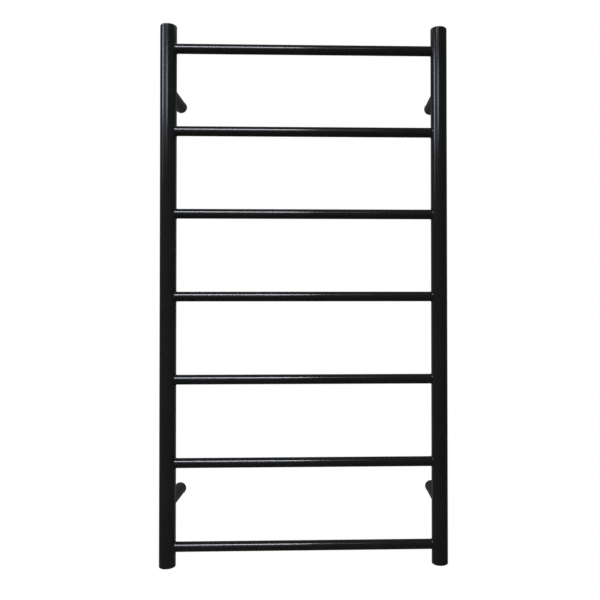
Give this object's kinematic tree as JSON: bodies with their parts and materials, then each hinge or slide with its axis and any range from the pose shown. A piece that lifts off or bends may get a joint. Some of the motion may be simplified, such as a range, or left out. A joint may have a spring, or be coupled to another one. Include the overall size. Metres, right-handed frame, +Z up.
{
  "type": "towel warmer rack",
  "caption": "Wall-hung electric ladder towel warmer: round uprights joined by slim round crossbars, on plain tube legs, in satin black.",
  "frame": {"origin": "centre of the four wall screw holes, on the wall plane", "axes": "+X to the right seen from the front, +Y into the wall, +Z up along the uprights"},
  "size_m": [0.53, 0.12, 0.9919],
  "materials": {
    "powder_coat": "satin black powder coat over steel tube",
    "boss_coat": "die-cast, bead-blasted and blackened",
    "screw_steel": "zinc plated",
    "grommet_rubber": "matt",
    "block_plastic": "moulded polyamide",
    "brass": "plain",
    "live_insulation": "silicone insulation, brown",
    "neutral_insulation": "silicone insulation, blue",
    "earth_insulation": "silicone insulation, green and yellow",
    "white_insulation": "silicone insulation, white",
    "cutout_plastic": "phenolic case",
    "splice_rubber": "moulded silicone",
    "cable_silicone": "extruded silicone, red"
  },
  "bodies": {
    "root": {"left_upright": "powder_coat", "right_upright": "powder_coat", "crossbar_1": "powder_coat", "crossbar_2": "powder_coat", "crossbar_3": "powder_coat", "crossbar_4": "powder_coat", "crossbar_5": "powder_coat", "crossbar_6": "powder_coat", "crossbar_7": "powder_coat", "top_left_cap": "powder_coat", "top_right_cap": "powder_coat", "bottom_left_cap": "powder_coat", "bottom_right_cap": "powder_coat", "upper_left_leg": "powder_coat", "upper_right_leg": "powder_coat", "lower_left_leg": "powder_coat", "wired_leg": "powder_coat", "left_bar_welds": "powder_coat", "right_bar_welds": "powder_coat", "leg_welds": "powder_coat", "upper_left_boss": "boss_coat", "upper_right_boss": "boss_coat", "lower_left_boss": "boss_coat", "wired_boss": "boss_coat", "grub_screws": "screw_steel", "cord_grommet": "grommet_rubber", "terminal_block": "block_plastic", "terminal_sleeves": "brass", "terminal_screws": "screw_steel", "live_lead": "live_insulation", "neutral_lead": "neutral_insulation", "earth_lead": "earth_insulation", "cutout_lead": "white_insulation", "thermal_cutout": "cutout_plastic", "earth_tag": "brass", "earth_receptacle": "brass", "cold_splice": "splice_rubber", "heating_cable": "cable_silicone", "end_seal": "splice_rubber"}
  },
  "joints": []
}
